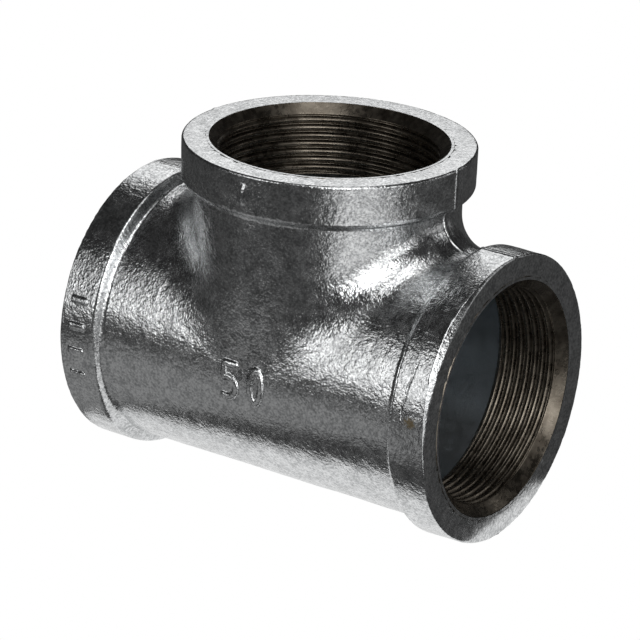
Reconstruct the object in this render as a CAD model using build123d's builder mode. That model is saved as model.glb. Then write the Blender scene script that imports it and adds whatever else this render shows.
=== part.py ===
"""Galvanised malleable-iron tee, 2 in (DN 50), three equal ports with female pipe threads.

Frame: millimetres, +Z up along the branch, +X along the run, the marked side towards -Y.
The origin is on the resting surface, straight under the point where the two axes cross.
"""

from build123d import *
from math import ceil, radians, tan
import os

# Driving dimensions: class 150 banded fitting, nominal size 2
CENTRE_TO_END = 57.15  # from the crossing of the axes to each face
BODY_RADIUS = 35.4  # outside of the run
NECK_RADIUS = 35.0  # outside of the branch neck
CROTCH_RADIUS = 9.0  # blend between the neck and the run
CHAMBER_RADIUS = 30.6  # cored inside, in the run and in the branch

BAND_RADIUS = 38.2
BAND_WIDTH = 10.8  # cylindrical part of the band
SHOULDER = 1.3  # axial length of the slope from the band down to the body
BAND_EDGE = 0.8  # rounding where the slope meets the band
FACE_EDGE = 0.4  # bevel round the machined face

# Pipe thread: 11 1/2 turns to the inch, 60 degree flanks
PITCH = 25.4 / 11.5
MINOR_RADIUS = 28.3  # the crests, a plain bore before tapping
THREAD_DEPTH = 1.25
ROOT_FLAT = 0.2
FLANK_ANGLE = 30.0  # from the radius to each flank
THREAD_LENGTH = 21.0  # from the face to the chamber
CLEARANCE = 0.1  # how far the cutting profile stands clear of the crests
MOUTH_RADIUS = 31.3  # countersink at the face, cut at 45 degrees

# Raised cast marks on the front
NUMERAL_HEIGHT = 10.5
NUMERAL_WIDTH = 5.0
NUMERAL_GAP = 3.2
STROKE = 1.6
MARK_RAISE = 0.6
PIP_SIZE = (3.4, 6.0)
BAR_SIZE = (1.8, 5.0)
BAR_COUNT = 4
BAR_STEP = 10.5  # degrees round the band from one bar to the next

RUN_HEIGHT = BAND_RADIUS  # the two run bands rest on the surface
CENTRE = (0, 0, RUN_HEIGHT)
BORE_END = THREAD_LENGTH - (CHAMBER_RADIUS - MINOR_RADIUS)  # depth where the crests stop

# Each port by name, as the plane of its face: normal outwards, local x towards -Y
PORTS = {
    "run_left": Plane((-CENTRE_TO_END, 0, RUN_HEIGHT), x_dir=(0, -1, 0), z_dir=(-1, 0, 0)),
    "run_right": Plane((CENTRE_TO_END, 0, RUN_HEIGHT), x_dir=(0, -1, 0), z_dir=(1, 0, 0)),
    "branch": Plane((0, 0, RUN_HEIGHT + CENTRE_TO_END), x_dir=(0, -1, 0), z_dir=(0, 0, 1)),
}
THREAD_NODES = {
    "run_left": "run_thread_left",
    "run_right": "run_thread_right",
    "branch": "branch_thread",
}


def front(radius, height):
    """A plane that faces -Y at this distance from the middle, x to the right and y up."""
    return Plane((0, -radius, height), x_dir=(1, 0, 0), z_dir=(0, -1, 0))


def turned(*outline, edge=0.0):
    """A closed outline of (radius, height) points turned round Z, with rims at -BAND_WIDTH rounded."""
    with BuildPart() as ring:
        with BuildSketch(Plane.XZ):
            with BuildLine():
                Polyline(*outline, close=True)
            make_face()
        revolve(axis=Axis.Z)
        if edge:
            rims = ring.edges().filter_by(GeomType.CIRCLE)
            fillet(rims.filter_by_position(Axis.Z, -BAND_WIDTH - 0.01, -BAND_WIDTH + 0.01), edge)
    return ring.part


def thread_turn(start):
    """One right-handed turn of the groove round Z, from this height up."""
    root = MINOR_RADIUS + THREAD_DEPTH
    depth = THREAD_DEPTH + CLEARANCE
    half_root = ROOT_FLAT / 2
    half_mouth = half_root + depth * tan(radians(FLANK_ANGLE))
    with BuildPart() as groove:
        with BuildLine():
            path = Helix(PITCH, PITCH, root, center=(0, 0, start))
        with BuildSketch(Plane(path @ 0, x_dir=(1, 0, 0), z_dir=path % 0)):
            with BuildLine():
                Polyline(
                    (0, -half_root),
                    (0, half_root),
                    (-depth, half_mouth),
                    (-depth, -half_mouth),
                    close=True,
                )
            make_face()
        sweep(path=path, is_frenet=True)
    return groove.part


def thread_ring():
    """The tapped layer of a port round Z, its face at 0: crests, groove, countersunk mouth."""
    turns = ceil(THREAD_LENGTH / PITCH) + 2
    with BuildPart() as ring:
        add(
            turned(
                (MINOR_RADIUS, MINOR_RADIUS - MOUTH_RADIUS),
                (CHAMBER_RADIUS, CHAMBER_RADIUS - MOUTH_RADIUS),
                (CHAMBER_RADIUS, -THREAD_LENGTH),
                (MINOR_RADIUS, -BORE_END),
            )
        )
        add([thread_turn((1 - turn) * PITCH) for turn in range(turns)], mode=Mode.SUBTRACT)
    return ring.part


def size_numeral():
    """The nominal size, 50, in raised strokes on the front of the run."""
    top = (NUMERAL_HEIGHT - STROKE) / 2
    half = (NUMERAL_WIDTH - STROKE) / 2
    five = -(NUMERAL_WIDTH + NUMERAL_GAP) / 2
    zero = -five
    with BuildPart() as numeral:
        with BuildSketch(front(BODY_RADIUS + MARK_RAISE, RUN_HEIGHT)):
            with BuildLine():
                Polyline((five + half, top), (five - half, top), (five - half, top * 0.15))
                ThreePointArc(
                    (five - half, top * 0.15),
                    (five + half + STROKE / 3, -top * 0.4),
                    (five - half, -top),
                )
            trace(line_width=STROKE)
            with Locations((zero, 0)):
                Ellipse(half + STROKE / 2, top + STROKE / 2)
                Ellipse(half - STROKE / 2, top - STROKE / 2, mode=Mode.SUBTRACT)
        extrude(amount=-3 * STROKE)
        with Locations(Location(CENTRE, (0, 90, 0))):
            Cylinder(BODY_RADIUS + MARK_RAISE, CENTRE_TO_END, mode=Mode.INTERSECT)
    return numeral.part


def branch_pip():
    """A plain oval pip on the front of the branch band."""
    with BuildPart() as pip:
        height = RUN_HEIGHT + CENTRE_TO_END - BAND_WIDTH / 2
        with BuildSketch(front(BAND_RADIUS + MARK_RAISE, height)):
            Ellipse(PIP_SIZE[0] / 2, PIP_SIZE[1] / 2)
        extrude(amount=-2 * STROKE)
    return pip.part


def band_bars():
    """A row of plain raised bars on the front of the left run band."""
    middle = -CENTRE_TO_END + BAND_WIDTH / 2
    with BuildPart() as bars:
        for number in range(BAR_COUNT):
            turn = (number - (BAR_COUNT - 1) / 2) * BAR_STEP
            spoke = Location((middle, 0, RUN_HEIGHT), (turn, 0, 0))
            with Locations(spoke * Location((0, -BAND_RADIUS - MARK_RAISE + STROKE, 0))):
                Box(BAR_SIZE[1], 2 * STROKE, BAR_SIZE[0])
    return bars.part


os.makedirs("parts", exist_ok=True)

# The shapes that every port shares, round Z with the face at height 0
band = turned(
    (CHAMBER_RADIUS, 0),
    (BAND_RADIUS - FACE_EDGE, 0),
    (BAND_RADIUS, -FACE_EDGE),
    (BAND_RADIUS, -BAND_WIDTH),
    (NECK_RADIUS, -BAND_WIDTH - SHOULDER),
    (CHAMBER_RADIUS, -BAND_WIDTH - SHOULDER),
    edge=BAND_EDGE,
)
countersink = turned((0, 0), (MOUTH_RADIUS, 0), (0, -MOUTH_RADIUS))
port_thread = thread_ring()

with BuildPart() as tee_casting:
    with BuildSketch(Plane.YZ.offset(-CENTRE_TO_END)):
        with Locations((0, RUN_HEIGHT)):
            Circle(BODY_RADIUS)
    extrude(amount=2 * CENTRE_TO_END)
    with BuildSketch(Plane.XY.offset(RUN_HEIGHT)):
        Circle(NECK_RADIUS)
    extrude(amount=CENTRE_TO_END)
    round_or_straight = (GeomType.LINE, GeomType.CIRCLE)
    crotch = tee_casting.edges().filter_by(lambda edge: edge.geom_type not in round_or_straight)
    fillet(crotch, CROTCH_RADIUS)
    for port in PORTS.values():
        add(port.location * band)
    add(size_numeral())
    add(branch_pip())
    add(band_bars())
    for port in PORTS.values():
        with BuildSketch(port):
            Circle(CHAMBER_RADIUS)
        extrude(amount=-CENTRE_TO_END, mode=Mode.SUBTRACT)
        add(port.location * countersink, mode=Mode.SUBTRACT)
tee_casting.part.label = "tee_casting"
export_step(tee_casting.part, "parts/tee_casting.step")

for port_name, port in PORTS.items():
    with BuildPart() as thread:
        add(port.location * port_thread)
    thread.part.label = THREAD_NODES[port_name]
    export_step(thread.part, f"parts/{thread.part.label}.step")
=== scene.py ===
"""Visual model of a galvanised malleable-iron pipe tee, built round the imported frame.

The casting is meshed from a distance function, so that its cast fillets, shoulders, marks and
mould line are one skin. The three tapped layers are turned meshes with a real thread.
Lengths inside the script are millimetres from the crossing of the axes, unless a comment says metres.
"""

import math

import bmesh
import bpy
import numpy as np
from mathutils import Matrix, Vector


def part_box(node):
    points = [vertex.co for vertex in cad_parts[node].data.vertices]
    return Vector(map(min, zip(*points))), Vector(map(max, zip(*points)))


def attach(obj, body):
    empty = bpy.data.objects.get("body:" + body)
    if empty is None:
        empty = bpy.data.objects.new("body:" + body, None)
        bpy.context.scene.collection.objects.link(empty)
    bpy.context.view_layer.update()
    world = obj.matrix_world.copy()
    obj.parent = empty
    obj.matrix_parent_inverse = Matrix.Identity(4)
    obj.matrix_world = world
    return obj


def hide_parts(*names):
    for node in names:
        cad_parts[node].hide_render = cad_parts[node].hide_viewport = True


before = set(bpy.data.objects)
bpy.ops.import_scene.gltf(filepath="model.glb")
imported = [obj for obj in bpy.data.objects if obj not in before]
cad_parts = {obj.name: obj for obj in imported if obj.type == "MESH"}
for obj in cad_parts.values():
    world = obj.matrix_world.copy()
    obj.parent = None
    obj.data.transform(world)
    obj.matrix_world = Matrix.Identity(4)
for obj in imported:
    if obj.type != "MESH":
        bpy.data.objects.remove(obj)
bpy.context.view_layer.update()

MM = 0.001

# ---------------------------------------------------------------- dimensions from the frame
casting_low, casting_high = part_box("tee_casting")
branch_low, branch_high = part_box("branch_thread")
END = casting_high[0] / MM  # from the crossing of the axes to each face
RUN_HEIGHT = casting_high[2] / MM - END  # the run axis above the floor
CROSSING = np.array((0, 0, RUN_HEIGHT))
BAND_RADIUS = RUN_HEIGHT  # the two run bands rest on the floor
CHAMBER_RADIUS = branch_high[0] / MM
THREAD_LENGTH = (casting_high[2] - branch_low[2]) / MM

# ---------------------------------------------------------------- dimensions of the casting
BODY_RADIUS = 35.4
NECK_RADIUS = 35.0
CROTCH_RADIUS = 9.0
FRONT_BLEND = 26.0  # how much softer the crotch blend gets where neck and run run together
CORE_RADIUS = 3.0  # inner edge between the two cored passages
BAND_WIDTH = 10.8
SHOULDER = 1.3  # axial length of the slope from the band down to the body
SHOULDER_EDGE = 0.8  # rounding where the slope meets the band
SHOULDER_FOOT = 1.7  # fillet where it meets the body
FACE_EDGE = 0.45  # rounding round the machined faces of the run
BRANCH_EDGE = 0.7  # and round the branch's
FACE_INSET = 0.04  # the cast face stays this far under the rim of the tapped layer
FACE_CHIPS = 0.12  # how much the edge of a run face varies either way
WORN_BEVEL = 1.5  # bevel worn on the right face's edge, at the front
WORN_VARIES = 0.25  # share of the bevel that varies either way
WORN_MIDDLE, WORN_SPREAD = 38, 30  # degrees up from the front
MOUTH_RADIUS = 31.3
MOUTH_STEP = 1.2  # depth over which the tapped layer reaches out to its rim
MOUTH_LIP = 0.7  # width of the flat rim round a mouth, whose outer half covers the casting

# raised marks on the front, as on the solids: 50, a pip on the branch, bars on the left band
MARK_RAISE = 0.6
MARK_EDGE = 0.5  # rounding of a mark's top
MARK_FOOT = 0.25  # fillet where it meets the skin
STROKE = 1.6
NUMERAL_HEIGHT, NUMERAL_WIDTH, NUMERAL_GAP = 10.5, 5.0, 3.2
PIP_SIZE = (3.4, 6.0)
BAR_SIZE = (1.8, 5.0)
BAR_COUNT, BAR_STEP = 4, 10.5  # the step in degrees
PIP_HEIGHT = END - BAND_WIDTH / 2
BAR_MIDDLE = -PIP_HEIGHT

# mould line: a fine ridge where the two halves of the mould met, all round one plane of y
RIDGE_Y, RIDGE_HEIGHT, RIDGE_WIDTH = 1.2, 0.32, 0.5
NECK_RIDGE = 2.2  # how many times heavier it is on the right half, above the run's axis

# the as-cast skin, as layers of noise: height, size of the lumps, seed
SAND = ((0.10, 11.0, 3), (0.045, 4.5, 5), (0.028, 2.2, 7))

# cold laps on the right band, as lines of (x, z) on its front: one along the shoulder's edge
LAPS = (
    ((46.5, 22.0), (46.75, 15.0), (46.6, 9.0), (46.9, 3.0)),
    ((51.6, 18.5), (50.6, 13.0), (50.0, 7.5), (49.9, 4.5)),
)
LAP_DEPTH, LAP_WIDTH, LAP_WOBBLE = 0.30, 0.16, 0.35

# patches of the front that hold the marks: x from and to, z from and to, and y below
NUMERAL_PATCH = (-9, 9, -8, 8, 0)
PIP_PATCH = (-5, 5, PIP_HEIGHT - 6, PIP_HEIGHT + 6, 0)
BAR_PATCH = (BAR_MIDDLE - 5, BAR_MIDDLE + 5, -18, 18, 0)
LAP_PATCH = (44, 54, 0, 25, -28)

# ---------------------------------------------------------------- thread
PITCH = 25.4 / 11.5
CREST_RADIUS = 28.3
THREAD_DEPTH = 1.25
FLANK = math.tan(math.radians(30))
ROOT_ROUNDING = 0.12
CREST_ROUNDING = 0.22
SINK_ROUNDING = 0.12  # where the countersink meets the thread

# ---------------------------------------------------------------- meshes
GRID_STEP, GRID_MARGIN = 1.8, 1.5
# finer spans of the grid: from, to, step
NEAR_FACE = [(END - 0.9, END + 0.4, 0.3), (END - 13.5, END - 10.0, 0.6)]
NEAR_RIDGE = [(0.0, 2.4, 0.6)]
SKIN_DEPTH = 1.2  # the skin is made finer down to this depth, which leaves out the chamber
# patches of the front whose mesh is halved once more, and one that is halved twice more
FINE_PATCHES = (
    (-8.5, 8.5, -7, 7, 0),
    (-4, 4, PIP_HEIGHT - 4.6, PIP_HEIGHT + 4.6, 0),
    (-END - GRID_MARGIN, -END + BAND_WIDTH, -14, 14, -25),
    (45, 53.5, 1, 23.5, -28),
)
FINEST_PATCH = (45.4, 52.6, 2, 22.5, -28)
RIM_DEPTH, RIM_WIDTH = 1.4, 1.6  # the worn rim of the right face, which is as fine
NORMAL_STEP = 0.06
THREAD_STEPS = 288  # round each port
THREAD_ROWS = 14  # along one turn of the thread

# ---------------------------------------------------------------- finishes
ZINC_DARK, ZINC_LIGHT = (0.41, 0.42, 0.425), (0.81, 0.82, 0.825)
CORED_ZINC = (0.50, 0.54, 0.57)
RUST = (0.22, 0.15, 0.045)
IRON_DARK, IRON_LIGHT = (0.115, 0.098, 0.078), (0.225, 0.198, 0.162)
FACE_FADE = (0.22, 0.08)  # depths between which the machined finish fades in
CORE_FADE = (1.5, 0.8)  # and the cored finish, out from the chamber's wall
RUST_PLACE = (52.5, -38.0, 4.0)  # one spot on the right band
RUST_FADE = (4.4, 3.2)  # distances from it between which the rust fades in
RUST_RAGGED = 5.0  # how much noise is added to the distance

# ---------------------------------------------------------------- camera
CAMERA_AZIMUTH, CAMERA_ELEVATION, CAMERA_ROLL = 33.7, 20.9, 2.6  # degrees, from -Y towards +X
CAMERA_DISTANCE = 0.94  # metres
CAMERA_LENS = 201
CAMERA_ASIDE, CAMERA_ABOVE = -0.2, 6.7  # where it aims, from the crossing of the axes

# ---------------------------------------------------------------- floor and lights
FLOOR_SIZE = 12  # metres
FLOOR_REFLECTED, WORLD_REFLECTED = 0.06, 0.03  # their shade to everything but the camera
PANEL_HEIGHT = 0.3  # of the panels that lie on the floor


# ---------------------------------------------------------------- noise
def value_noise(points, size, seed):
    """Smooth noise from -1 to 1 whose lumps are about this many millimetres apart."""
    side = 64
    table = np.random.default_rng(seed).uniform(-1, 1, (side, side, side))
    scaled = points / size + 1000.0
    cell = np.floor(scaled).astype(int)
    part = scaled - cell
    part = part * part * (3 - 2 * part)
    total = 0.0
    for corner in np.ndindex(2, 2, 2):
        at = (cell + corner) % side
        weight = np.prod(np.where(corner, part, 1 - part), axis=-1)
        total = total + weight * table[at[..., 0], at[..., 1], at[..., 2]]
    return total


# ---------------------------------------------------------------- distance functions
def rolled_union(a, b, cosine, radius):
    """Union of two solids with a fillet of this radius, for any angle between their walls."""
    to_a, to_b = radius - a, radius - b
    along_a, along_b = to_a - cosine * to_b, to_b - cosine * to_a
    square = to_a**2 + to_b**2 - 2 * cosine * to_a * to_b
    ball = radius - np.sqrt(np.maximum(square, 0) / np.maximum(1 - cosine**2, 1e-4))
    return np.where((along_a > 0) & (along_b > 0), ball, np.minimum(a, b))


def rounded_intersection(a, b, radius):
    """Intersection of two solids with a rounded edge."""
    outside = np.hypot(np.maximum(a + radius, 0), np.maximum(b + radius, 0))
    return np.minimum(-radius, np.maximum(a, b)) + outside


def rounded_union(a, b, radius):
    """Union of two solids that meet near a right angle, with a rounded corner."""
    inside = np.hypot(np.maximum(radius - a, 0), np.maximum(radius - b, 0))
    return np.maximum(radius, np.minimum(a, b)) - inside


def crossing_pipes(points, run_radius, neck_radius, fillet, softer):
    """Distance to a run along X joined by a neck along +Z."""
    x, y, z = np.moveaxis(points, -1, 0)
    run_r, neck_r = np.hypot(y, z), np.hypot(x, y)
    run, neck = run_r - run_radius, neck_r - neck_radius
    cosine = y * y / np.maximum(run_r * neck_r, 1e-6)
    radius = fillet + softer * cosine**2
    return np.where(z > 0, rolled_union(run, neck, cosine, radius), run)


def with_band(iron, depth, radius):
    """The iron with a band round one mouth: depth is from the face, radius from its axis."""
    length = math.hypot(SHOULDER, BAND_RADIUS - NECK_RADIUS)
    lean = (BAND_RADIUS - NECK_RADIUS) / length, SHOULDER / length
    side = radius - BAND_RADIUS
    slope = (depth - BAND_WIDTH) * lean[0] + side * lean[1]
    band = rounded_intersection(side, slope, SHOULDER_EDGE)
    return rolled_union(iron, band, lean[1], SHOULDER_FOOT)


def stroke_distance(across, up, path):
    """Distance in a plane to a line through these points."""
    nearest = np.full(across.shape, np.inf)
    for (x0, y0), (x1, y1) in zip(path[:-1], path[1:]):
        dx, dy = x1 - x0, y1 - y0
        share = ((across - x0) * dx + (up - y0) * dy) / (dx * dx + dy * dy)
        share = np.clip(share, 0, 1)
        nearest = np.minimum(nearest, np.hypot(across - x0 - share * dx, up - y0 - share * dy))
    return nearest


def arc_path(start, middle, end, steps=16):
    """Points along the arc through three points."""
    (ax, ay), (bx, by), (cx, cy) = start, middle, end
    d = 2 * (ax * (by - cy) + bx * (cy - ay) + cx * (ay - by))
    squares = ax * ax + ay * ay, bx * bx + by * by, cx * cx + cy * cy
    ux = (squares[0] * (by - cy) + squares[1] * (cy - ay) + squares[2] * (ay - by)) / d
    uy = (squares[0] * (cx - bx) + squares[1] * (ax - cx) + squares[2] * (bx - ax)) / d
    first, last = math.atan2(ay - uy, ax - ux), math.atan2(cy - uy, cx - ux)
    half = math.atan2(by - uy, bx - ux)
    turn = (last - first) % (2 * math.pi)
    if (half - first) % (2 * math.pi) > turn:
        turn -= 2 * math.pi
    radius = math.hypot(ax - ux, ay - uy)
    angles = [first + turn * i / steps for i in range(steps + 1)]
    return [(ux + radius * math.cos(a), uy + radius * math.sin(a)) for a in angles]


def numeral_paths():
    """Centre lines of the strokes of 50, in x and z on the front of the run."""
    top = (NUMERAL_HEIGHT - STROKE) / 2
    half = (NUMERAL_WIDTH - STROKE) / 2
    zero = (NUMERAL_WIDTH + NUMERAL_GAP) / 2
    five = -zero
    bowl = arc_path(
        (five - half, top * 0.15), (five + half + STROKE / 3, -top * 0.4), (five - half, -top)
    )
    loop = [
        (zero + half * math.cos(a), top * math.sin(a))
        for a in np.linspace(0, 2 * math.pi, 33)
    ]
    return [[(five + half, top), (five - half, top)] + bowl, loop]


def in_patch(points, patch):
    """Which points lie in a patch of the front."""
    x, y, z = np.moveaxis(points, -1, 0)
    x_from, x_to, z_from, z_to, y_below = patch
    return (x > x_from) & (x < x_to) & (z > z_from) & (z < z_to) & (y < y_below)


def with_marks(iron, points):
    """The iron with its raised marks, which all face -Y."""
    x, y, z = np.moveaxis(points, -1, 0)
    run_r, neck_r = np.hypot(y, z), np.hypot(x, y)

    near = in_patch(points, NUMERAL_PATCH)
    if near.any():
        flat = np.full(x.shape, np.inf)
        for path in numeral_paths():
            flat[near] = np.minimum(flat[near], stroke_distance(x[near], z[near], path))
        numeral = rounded_intersection(
            flat[near] - STROKE / 2, run_r[near] - BODY_RADIUS - MARK_RAISE, MARK_EDGE
        )
        iron[near] = rounded_union(iron[near], numeral, MARK_FOOT)

    near = in_patch(points, PIP_PATCH)
    if near.any():
        across, up = x[near] / PIP_SIZE[0] * 2, (z[near] - PIP_HEIGHT) / PIP_SIZE[1] * 2
        oval = (np.hypot(across, up) - 1) * PIP_SIZE[0] / 2
        dome = MARK_RAISE * (1 - np.minimum(np.hypot(across, up), 1) ** 2)
        pip = rounded_intersection(oval, neck_r[near] - BAND_RADIUS - dome, MARK_FOOT)
        iron[near] = rounded_union(iron[near], pip, MARK_FOOT)

    near = in_patch(points, BAR_PATCH)
    if near.any():
        turn = np.degrees(np.arctan2(z[near], -y[near]))
        for number in range(BAR_COUNT):
            bar_turn = (number - (BAR_COUNT - 1) / 2) * BAR_STEP
            off = np.abs(np.radians(turn - bar_turn) * BAND_RADIUS) - BAR_SIZE[0] / 2
            along = np.abs(x[near] - BAR_MIDDLE) - BAR_SIZE[1] / 2
            plan = rounded_intersection(off, along, MARK_EDGE)
            bar = rounded_intersection(plan, run_r[near] - BAND_RADIUS - MARK_RAISE, MARK_EDGE)
            iron[near] = rounded_union(iron[near], bar, MARK_FOOT)
    return iron


def laps(points):
    """How deep the cold laps cut into the right band, in millimetres."""
    x, y, z = np.moveaxis(points, -1, 0)
    depth = np.zeros(x.shape)
    near = in_patch(points, LAP_PATCH)
    if near.any():
        wobble = LAP_WOBBLE * value_noise(points[near], size=1.6, seed=13)
        for path in LAPS:
            off = stroke_distance(x[near] + wobble, z[near], path)
            depth[near] += LAP_DEPTH * np.exp(-((off / LAP_WIDTH) ** 2))
    return depth


def sand_relief(points):
    """How far the as-cast skin stands proud of its true shape, in millimetres."""
    return sum(height * value_noise(points, lump, seed) for height, lump, seed in SAND)


def casting_distance(points, relief=True):
    """Distance to the casting, negative inside the iron."""
    x, y, z = np.moveaxis(points, -1, 0)
    run_depth, branch_depth = END - np.abs(x), END - z
    run_r, neck_r = np.hypot(y, z), np.hypot(x, y)
    iron = crossing_pipes(points, BODY_RADIUS, NECK_RADIUS, CROTCH_RADIUS, FRONT_BLEND)
    iron = with_band(iron, run_depth, run_r)
    iron = with_band(iron, branch_depth, neck_r)
    iron = with_marks(iron, points)
    edge = FACE_EDGE
    if relief:
        ridge = RIDGE_HEIGHT * np.exp(-(((y - RIDGE_Y) / RIDGE_WIDTH) ** 2))
        ridge = np.where((x > 0) & (z > 0), ridge * NECK_RIDGE, ridge)
        iron = iron - ridge - sand_relief(points) + laps(points)
        around = np.degrees(np.arctan2(z, -y)) - WORN_MIDDLE
        worn = np.exp(-((around / WORN_SPREAD) ** 2)) * (x > 0)
        bevel = WORN_BEVEL * worn * (1 + WORN_VARIES * value_noise(points, size=6.0, seed=11))
        iron = np.maximum(iron, (iron + FACE_INSET - run_depth + bevel) / math.sqrt(2))
        edge = FACE_EDGE + FACE_CHIPS * value_noise(points, size=3.2, seed=11)
    iron = rounded_intersection(iron, FACE_INSET - run_depth, edge)
    iron = rounded_intersection(iron, FACE_INSET - branch_depth, BRANCH_EDGE)
    hollow = crossing_pipes(points, CHAMBER_RADIUS, CHAMBER_RADIUS, CORE_RADIUS, 0)
    for depth, radius in ((run_depth, run_r), (branch_depth, neck_r)):
        mouth = np.maximum(radius - MOUTH_RADIUS - MOUTH_LIP / 2, depth - MOUTH_STEP)
        hollow = np.minimum(hollow, mouth)
    return np.maximum(iron, -hollow)


# ---------------------------------------------------------------- meshing
def grid_line(low, high, fine_spans):
    """Grid planes from low to high, closer together inside each (start, end, step) span."""
    places = [low]
    while places[-1] < high:
        here = places[-1]
        steps = [step for start, end, step in fine_spans if start <= here < end]
        places.append(here + min(steps, default=GRID_STEP))
    return np.array(places)


def surface_net(lines, distance):
    """Closed quad mesh of the zero surface of a distance function on a grid."""
    grid = np.stack(np.meshgrid(*lines, indexing="ij"), axis=-1)
    values = distance(grid)
    inside = values < 0
    cells = tuple(n - 1 for n in values.shape)

    def corner(array, offset):
        return array[tuple(slice(o, o + n) for o, n in zip(offset, cells))]

    count = sum(corner(inside, offset).astype(np.int8) for offset in np.ndindex(2, 2, 2))
    active = np.argwhere((count > 0) & (count < 8))
    total, hits = np.zeros((len(active), 3)), np.zeros(len(active))
    for axis in range(3):
        step = np.eye(3, dtype=int)[axis]
        for offset in np.ndindex(2, 2, 2):
            if offset[axis]:
                continue
            start, end = active + offset, active + offset + step
            a, b = values[tuple(start.T)], values[tuple(end.T)]
            cross = (a < 0) != (b < 0)
            share = np.where(cross, a / np.where(cross, a - b, 1), 0)[:, None]
            place = grid[tuple(start.T)] * (1 - share) + grid[tuple(end.T)] * share
            total += place * cross[:, None]
            hits += cross
    vertices = total / hits[:, None]
    number = np.full(cells, -1)
    number[tuple(active.T)] = np.arange(len(active))
    quads = []
    for axis in range(3):
        one, two = [np.eye(3, dtype=int)[(axis + turn) % 3] for turn in (1, 2)]
        low = [slice(None)] * 3
        high = [slice(None)] * 3
        low[axis], high[axis] = slice(None, -1), slice(1, None)
        start, end = inside[tuple(low)], inside[tuple(high)]
        edges = np.argwhere(start != end)
        around = [edges - one - two, edges - two, edges, edges - one]
        ring = np.stack([number[tuple(cell.T)] for cell in around], axis=1)
        leaving = start[tuple(edges.T)]
        quads.append(np.where(leaving[:, None], ring, ring[:, ::-1]))
    return vertices, np.concatenate(quads)


def slope_of(points, distance, step=0.02):
    """Gradient of a distance function."""
    parts = []
    for axis in np.eye(3) * step:
        parts.append((distance(points + axis) - distance(points - axis)) / (2 * step))
    return np.stack(parts, axis=-1)


def settled(points, distance, rounds=3):
    """Points moved onto the zero surface."""
    least = 0.25  # keeps a move short where the slope is slight
    for _ in range(rounds):
        slope = slope_of(points, distance)
        square = np.maximum((slope**2).sum(-1, keepdims=True), least)
        points = points - distance(points)[..., None] * slope / square
    return points


def mesh_places(mesh):
    """The places of a mesh's vertices."""
    places = np.empty(len(mesh.vertices) * 3)
    mesh.vertices.foreach_get("co", places)
    return places.reshape(-1, 3)


def refine(mesh, wanted):
    """Halve the edges whose two ends are wanted, and return the places of the vertices."""
    work = bmesh.new()
    work.from_mesh(mesh)
    work.verts.ensure_lookup_table()
    chosen = [e for e in work.edges if wanted[e.verts[0].index] and wanted[e.verts[1].index]]
    bmesh.ops.subdivide_edges(work, edges=chosen, cuts=1, use_grid_fill=True)
    work.to_mesh(mesh)
    work.free()
    return mesh_places(mesh)


def finish_mesh(name, mesh, places, material, normals=None):
    """An object from a mesh, with its vertices at these places about the crossing of the axes."""
    metres = (places + CROSSING) * MM
    mesh.vertices.foreach_set("co", metres.ravel())
    mesh.update()
    mesh.polygons.foreach_set("use_smooth", [True] * len(mesh.polygons))
    if normals is not None:
        mesh.normals_split_custom_set_from_vertices(normals.tolist())
    mesh.materials.append(material)
    piece = bpy.data.objects.new(name, mesh)
    bpy.context.scene.collection.objects.link(piece)
    return piece


def new_mesh(name, vertices, faces):
    """A mesh from its vertices and faces."""
    mesh = bpy.data.meshes.new(name)
    mesh.from_pydata(np.asarray(vertices).tolist(), [], np.asarray(faces).tolist())
    mesh.validate()
    return mesh


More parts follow.
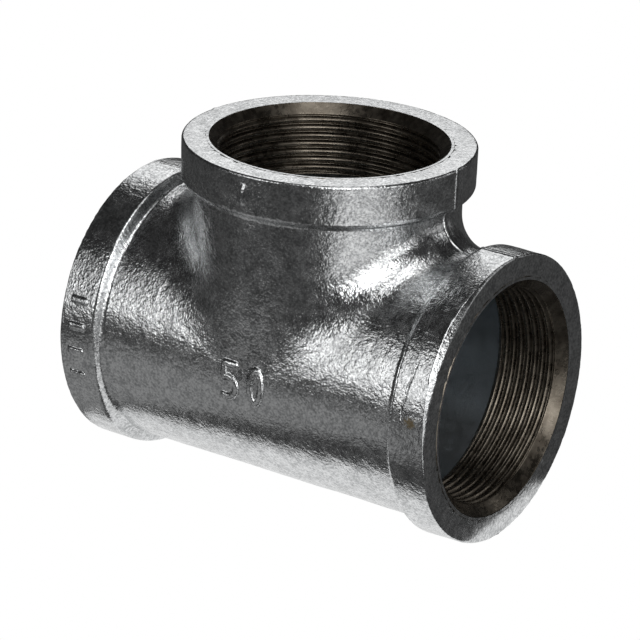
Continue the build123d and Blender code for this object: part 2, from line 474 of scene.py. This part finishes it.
# ---------------------------------------------------------------- materials
class Shader:
    """A Principled material, with short calls for the nodes that feed it."""

    def __init__(self, name, **values):
        self.material = bpy.data.materials.new(name)
        self.material.use_nodes = True
        self.tree = self.material.node_tree
        self.inputs = self.tree.nodes["Principled BSDF"].inputs
        for key, value in values.items():
            self.inputs[key.replace("_", " ")].default_value = value
        self.place = self.tree.nodes.new("ShaderNodeTexCoord").outputs["Object"]
        split = self.tree.nodes.new("ShaderNodeSeparateXYZ")
        self.tree.links.new(self.place, split.inputs[0])
        self.x, self.y, self.z = split.outputs

    def set(self, socket, value):
        """Feeds a socket from another node, or from a plain value."""
        if hasattr(value, "links"):
            self.tree.links.new(value, socket)
        else:
            socket.default_value = value

    def noise(self, lump, detail=0.0, seed=0.0):
        """Noise from 0 to 1 whose lumps are about this many millimetres apart."""
        made = self.tree.nodes.new("ShaderNodeTexNoise")
        made.noise_dimensions = "4D"
        for key, value in (("Scale", 1 / (lump * MM)), ("Detail", detail), ("W", seed)):
            made.inputs[key].default_value = value
        self.tree.links.new(self.place, made.inputs["Vector"])
        return made.outputs["Fac"]

    def math(self, operation, *values):
        """One step of arithmetic."""
        made = self.tree.nodes.new("ShaderNodeMath")
        made.operation = operation
        for socket, value in zip(made.inputs, values):
            self.set(socket, value)
        return made.outputs[0]

    def step(self, value, low, high, start=0.0, end=1.0):
        """Goes smoothly from start to end while the value goes from low to high."""
        made = self.tree.nodes.new("ShaderNodeMapRange")
        made.interpolation_type = "SMOOTHSTEP"
        for socket, number in zip(made.inputs, (value, low, high, start, end)):
            self.set(socket, number)
        return made.outputs[0]

    def hypot(self, one, two):
        """The long side over two short ones."""
        squares = self.math("ADD", self.math("POWER", one, 2.0), self.math("POWER", two, 2.0))
        return self.math("SQRT", squares)

    def mix(self, share, one, two):
        """A colour mix."""
        made = self.tree.nodes.new("ShaderNodeMix")
        made.data_type = "RGBA"
        for number, value in ((0, share), (6, one), (7, two)):
            if isinstance(value, tuple):
                value = (*value, 1)
            self.set(made.inputs[number], value)
        return made.outputs[2]

    def distance_to(self, x, y, z):
        """Metres from a place given in millimetres from the crossing of the axes."""
        made = self.tree.nodes.new("ShaderNodeVectorMath")
        made.operation = "DISTANCE"
        self.tree.links.new(self.place, made.inputs[0])
        made.inputs[1].default_value = (x * MM, y * MM, (z + RUN_HEIGHT) * MM)
        return made.outputs["Value"]

    def bump(self, height, distance, strength=1.0):
        """Normals roughened by this height, whose full depth is this many millimetres."""
        made = self.tree.nodes.new("ShaderNodeBump")
        self.set(made.inputs["Height"], height)
        self.set(made.inputs["Strength"], strength)
        made.inputs["Distance"].default_value = distance * MM
        return made.outputs["Normal"]


def make_zinc():
    """Hot-dip zinc on rough cast iron, smoother on the machined faces and duller in the chamber."""
    zinc = Shader("galvanised_zinc", Metallic=1.0)
    up = zinc.math("SUBTRACT", zinc.z, RUN_HEIGHT * MM)
    outermost = zinc.math("MAXIMUM", zinc.math("ABSOLUTE", zinc.x), up)
    face = zinc.step(outermost, *[(END - depth) * MM for depth in FACE_FADE])
    wall = [(CHAMBER_RADIUS + out) * MM for out in CORE_FADE]
    in_run = zinc.step(zinc.hypot(zinc.y, up), *wall)
    in_neck = zinc.step(zinc.hypot(zinc.x, zinc.y), *wall)
    in_neck = zinc.math("MULTIPLY", in_neck, zinc.step(up, 0.0, 2 * MM))
    cored = zinc.math("MULTIPLY", zinc.math("MAXIMUM", in_run, in_neck), zinc.step(face, 1.0, 0.0))

    grain = zinc.math("MULTIPLY", zinc.noise(0.45, detail=1.0), 0.55)
    lumps = zinc.noise(1.25, detail=1.0, seed=2.0)
    rough_cast = zinc.step(zinc.math("MAXIMUM", face, cored), 0.0, 1.0, start=1.0, end=0.3)
    normal = zinc.bump(zinc.math("ADD", grain, lumps), 0.135, rough_cast)
    zinc.tree.links.new(normal, zinc.inputs["Normal"])

    fine = zinc.noise(0.6, detail=2.0, seed=5.0)
    broad = zinc.noise(3.8, detail=2.0, seed=7.0)
    tone = zinc.math("ADD", zinc.math("MULTIPLY", fine, 0.72), zinc.math("MULTIPLY", broad, 0.28))
    colour = zinc.mix(zinc.step(tone, 0.34, 0.64), ZINC_DARK, ZINC_LIGHT)
    ragged = zinc.math("MULTIPLY", zinc.noise(0.9, detail=3.0), RUST_RAGGED * MM)
    spot = zinc.math("ADD", zinc.distance_to(*RUST_PLACE), ragged)
    rust = zinc.step(spot, *[distance * MM for distance in RUST_FADE], start=0.0, end=0.8)
    colour = zinc.mix(rust, colour, RUST)
    colour = zinc.mix(cored, colour, CORED_ZINC)
    zinc.tree.links.new(colour, zinc.inputs["Base Color"])

    roughness = zinc.step(zinc.noise(3.0, detail=2.0, seed=9.0), 0.35, 0.65, start=0.16, end=0.27)
    roughness = zinc.math("ADD", roughness, zinc.math("MULTIPLY", cored, 0.14))
    roughness = zinc.math("ADD", roughness, zinc.math("MULTIPLY", rust, 0.4))
    zinc.tree.links.new(roughness, zinc.inputs["Roughness"])
    return zinc.material


def make_bare_iron():
    """Iron bared by the tap: brown and oily."""
    iron = Shader("bare_thread_iron", Metallic=1.0)
    tone = iron.step(iron.noise(4.0, detail=2.0, seed=3.0), 0.3, 0.7)
    iron.tree.links.new(iron.mix(tone, IRON_DARK, IRON_LIGHT), iron.inputs["Base Color"])
    roughness = iron.step(iron.noise(1.5, detail=2.0), 0.3, 0.7, start=0.22, end=0.36)
    iron.tree.links.new(roughness, iron.inputs["Roughness"])
    normal = iron.bump(iron.noise(0.7, detail=1.0, seed=4.0), 0.03)
    iron.tree.links.new(normal, iron.inputs["Normal"])
    return iron.material


# ---------------------------------------------------------------- the casting
def build_casting(material):
    """The casting as one skin: a coarse net, made finer where it matters, then settled."""
    mirrored = [(-end, -start, step) for start, end, step in NEAR_FACE]
    far_x, far_y = END + GRID_MARGIN, BAND_RADIUS + GRID_MARGIN
    lines = (
        grid_line(-far_x, far_x, NEAR_FACE + mirrored),
        grid_line(-far_y, far_y, NEAR_RIDGE),
        grid_line(-far_y, far_x, NEAR_FACE),
    )

    def smooth(points):
        return casting_distance(points, relief=False)

    vertices, quads = surface_net(lines, smooth)
    mesh = new_mesh("casting_skin", settled(vertices, smooth), quads)
    skin = crossing_pipes(mesh_places(mesh), BODY_RADIUS, NECK_RADIUS, CROTCH_RADIUS, FRONT_BLEND)
    vertices = refine(mesh, skin > -SKIN_DEPTH)
    fine = [in_patch(vertices, patch) for patch in FINE_PATCHES]
    vertices = refine(mesh, np.any(fine, axis=0))
    x, y, z = vertices.T
    rim = (END - x < RIM_DEPTH) & (np.hypot(y, z) > BAND_RADIUS - RIM_WIDTH) & (y < 0)
    vertices = refine(mesh, in_patch(vertices, FINEST_PATCH) | rim)
    vertices = settled(vertices, casting_distance)
    normals = slope_of(vertices, casting_distance, NORMAL_STEP)
    normals /= np.maximum(np.linalg.norm(normals, axis=1, keepdims=True), 1e-9)
    lowest = np.array(casting_low) / MM - CROSSING + (FACE_INSET, 0, 0)
    highest = np.array(casting_high) / MM - CROSSING - (FACE_INSET, 0, FACE_INSET)
    vertices = np.clip(vertices, lowest, highest)
    return finish_mesh("casting_skin", mesh, vertices, material, normals)


# ---------------------------------------------------------------- the tapped layers
def soft_max(a, b, blend):
    """The larger of two values, with a rounded changeover this wide."""
    return (a + b + np.sqrt((a - b) ** 2 + blend**2)) / 2


def thread_radius(depth, angle):
    """Inner radius of a tapped layer, from its depth below the face and the angle."""
    turn = depth / PITCH + angle / (2 * math.pi)  # whole numbers along the bottom of the groove
    off_root = np.abs(turn - np.round(turn)) * PITCH
    groove = THREAD_DEPTH - soft_max(off_root / FLANK, ROOT_ROUNDING, ROOT_ROUNDING)
    groove = soft_max(groove, 0.0, CREST_ROUNDING)
    tapped = CREST_RADIUS + groove
    countersink = MOUTH_RADIUS - depth
    throat = CHAMBER_RADIUS - (THREAD_LENGTH - depth)
    return np.maximum(soft_max(tapped, countersink, SINK_ROUNDING), throat)


def build_thread(name, iron, zinc, frame_of_port):
    """A closed ring: the tapped wall inside, the cored wall outside, and a zinc rim on top."""
    rim = MOUTH_RADIUS + MOUTH_LIP
    depth = np.linspace(0, THREAD_LENGTH, int(THREAD_LENGTH / PITCH * THREAD_ROWS))[:, None]
    angle = np.linspace(0, 2 * math.pi, THREAD_STEPS, endpoint=False)[None, :]
    corners = (
        (THREAD_LENGTH, CHAMBER_RADIUS),
        (MOUTH_STEP, CHAMBER_RADIUS),
        (MOUTH_STEP, rim),
        (0.0, rim),
        (0.0, MOUTH_RADIUS),
    )
    inner = thread_radius(depth, angle)
    outer = np.repeat(np.array(corners).T[:, :, None], THREAD_STEPS, axis=2)
    depths = np.concatenate([np.broadcast_to(depth, inner.shape), outer[0]])
    radii = np.concatenate([inner, outer[1]])
    across = np.broadcast_to(angle, radii.shape)
    local = np.stack([radii * np.cos(across), radii * np.sin(across), -depths], axis=-1)
    rotation, face_centre = frame_of_port
    vertices = local.reshape(-1, 3) @ rotation.T + face_centre
    rows = len(radii)
    row, column = np.meshgrid(np.arange(rows), np.arange(THREAD_STEPS), indexing="ij")
    next_column = (column + 1) % THREAD_STEPS
    here, down = row * THREAD_STEPS, (row + 1) % rows * THREAD_STEPS
    quads = np.stack([here + column, here + next_column, down + next_column, down + column], axis=-1)
    mesh = new_mesh(name, vertices, quads.reshape(-1, 4)[:, ::-1])
    piece = finish_mesh(name, mesh, vertices, iron)
    mesh.materials.append(zinc)
    flat_rim = rows - 2  # the row of faces between the last two corners
    for face in mesh.polygons[flat_rim * THREAD_STEPS : (flat_rim + 1) * THREAD_STEPS]:
        face.material_index = 1
        face.use_smooth = False
    return piece


def port_frame(direction):
    """Rotation whose third column is the port's outward axis, and the face's centre."""
    out = np.array(direction, float)
    front = np.array((0.0, -1.0, 0.0))
    return np.stack([front, np.cross(out, front), out], axis=1), out * END


# ---------------------------------------------------------------- camera, floor and lights
def aim(thing, target):
    """Turns a lamp towards a target."""
    direction = Vector(target) - thing.location
    thing.rotation_euler = direction.to_track_quat("-Z", "Y").to_euler()


def build_camera():
    """The camera, turned about the crossing of the axes."""
    azimuth, elevation = math.radians(CAMERA_AZIMUTH), math.radians(CAMERA_ELEVATION)
    roll = math.radians(CAMERA_ROLL)
    camera = bpy.data.objects.new("camera", bpy.data.cameras.new("camera"))
    bpy.context.scene.collection.objects.link(camera)
    bpy.context.scene.camera = camera
    back = np.array(
        (
            math.sin(azimuth) * math.cos(elevation),
            -math.cos(azimuth) * math.cos(elevation),
            math.sin(elevation),
        )
    )
    right = np.array((math.cos(azimuth), math.sin(azimuth), 0))
    up = np.cross(back, right)
    right, up = (
        math.cos(roll) * right + math.sin(roll) * up,
        math.cos(roll) * up - math.sin(roll) * right,
    )
    target = (CROSSING + right * CAMERA_ASIDE + up * CAMERA_ABOVE) * MM
    turn = Matrix([[right[i], up[i], back[i]] for i in range(3)])
    camera.matrix_world = Matrix.Translation(target + back * CAMERA_DISTANCE) @ turn.to_4x4()
    camera.data.sensor_width = 36
    camera.data.lens = CAMERA_LENS
    camera.data.clip_end = 50


def plain_white(tree, light, output, reflected):
    """One plain shade everywhere: white to the camera, and this dim to everything else."""
    seen, dim = tree.nodes.new(light), tree.nodes.new(light)
    seen.inputs["Color"].default_value = (1, 1, 1, 1)
    dim.inputs["Color"].default_value = (1, 1, 1, 1)
    dim.inputs["Strength"].default_value = reflected
    mix = tree.nodes.new("ShaderNodeMixShader")
    tree.links.new(tree.nodes.new("ShaderNodeLightPath").outputs["Is Camera Ray"], mix.inputs[0])
    tree.links.new(dim.outputs[0], mix.inputs[1])
    tree.links.new(seen.outputs[0], mix.inputs[2])
    out = next(n for n in tree.nodes if n.bl_idname == output)
    tree.links.new(mix.outputs[0], out.inputs["Surface"])


def build_stage():
    """A plain floor in plain surroundings, both white to the camera."""
    shade = bpy.data.materials.new("floor")
    shade.use_nodes = True
    plain_white(
        shade.node_tree, "ShaderNodeEmission", "ShaderNodeOutputMaterial", FLOOR_REFLECTED
    )
    bpy.ops.mesh.primitive_plane_add(size=FLOOR_SIZE)
    plane = bpy.context.object
    plane.name = "floor"
    plane.data.materials.append(shade)
    world = bpy.data.worlds.new("studio")
    bpy.context.scene.world = world
    world.use_nodes = True
    plain_white(
        world.node_tree, "ShaderNodeBackground", "ShaderNodeOutputWorld", WORLD_REFLECTED
    )


def light_panel(name, wide, high, radiance):
    """A soft rectangular light of this size in metres, hidden from the camera."""
    data = bpy.data.lights.new(name, "AREA")
    data.shape = "RECTANGLE"
    data.size, data.size_y = wide, high
    data.energy = radiance * math.pi * wide * high
    lamp = bpy.data.objects.new(name, data)
    bpy.context.scene.collection.objects.link(lamp)
    lamp.visible_camera = False
    return lamp


def floor_panel(name, bearing, near, far, wide, radiance):
    """A light panel lying on the floor, from near to far millimetres out along a bearing."""
    lamp = light_panel(name, wide * MM, (far - near) * MM, radiance)
    a, out = math.radians(bearing), (near + far) / 2 * MM
    lamp.location = (out * math.sin(a), -out * math.cos(a), PANEL_HEIGHT * MM)
    lamp.rotation_euler = (math.pi, 0, a)


def softbox(name, azimuth, elevation, wide, high, radiance, distance=1.2):
    """A softbox that looks this many degrees wide and high from the object, metres away."""
    lamp = light_panel(
        name,
        2 * distance * math.tan(math.radians(wide / 2)),
        2 * distance * math.tan(math.radians(high / 2)),
        radiance,
    )
    a, e = math.radians(azimuth), math.radians(elevation)
    lamp.location = (
        distance * math.sin(a) * math.cos(e),
        -distance * math.cos(a) * math.cos(e),
        RUN_HEIGHT * MM + distance * math.sin(e),
    )
    aim(lamp, (0, 0, RUN_HEIGHT * MM))


def build_lights():
    """Softboxes by azimuth, elevation, degrees wide and high, and radiance, then the panels."""
    softbox("key", 50, 28, 32, 30, 2.5)
    softbox("key_core", 43, 20, 18, 14, 2.6, distance=1.15)
    softbox("right_low", 57, 6, 50, 15, 1.3)
    softbox("right_side", 84, 8, 22, 18, 1.7)
    softbox("upper", 42, 61, 34, 16, 2.3)
    softbox("top", 80, 80, 30, 14, 0.9)
    softbox("top_right", 74, 66, 26, 16, 0.9, distance=1.15)
    softbox("front_left", 337, 22, 24, 30, 1.35)
    softbox("front_left_low", 333, 5, 26, 11, 0.95, distance=1.15)
    softbox("back", 214, 36, 32, 38, 1.15)
    softbox("back_right", 140, 22, 18, 14, 0.9)
    softbox("back_right_low", 130, 4, 40, 10, 0.5)
    floor_panel("under", 352, -45, 35, 122, 0.8)
    floor_panel("right_floor", 55, 110, 210, 90, 0.85)
    floor_panel("right_floor_far", 62, 212, 430, 240, 0.8)
    floor_panel("front_floor", 335, 52, 150, 120, 0.2)


zinc_material, iron_material = make_zinc(), make_bare_iron()
casting = build_casting(zinc_material)
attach(casting, "root")
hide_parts("tee_casting")

for thread_node, direction in (
    ("run_thread_left", (-1, 0, 0)),
    ("run_thread_right", (1, 0, 0)),
    ("branch_thread", (0, 0, 1)),
):
    tapped = build_thread(
        thread_node + "_wall", iron_material, zinc_material, port_frame(direction)
    )
    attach(tapped, "root")
    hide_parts(thread_node)

build_camera()
build_stage()
build_lights()
bpy.context.scene.view_settings.view_transform = "Standard"
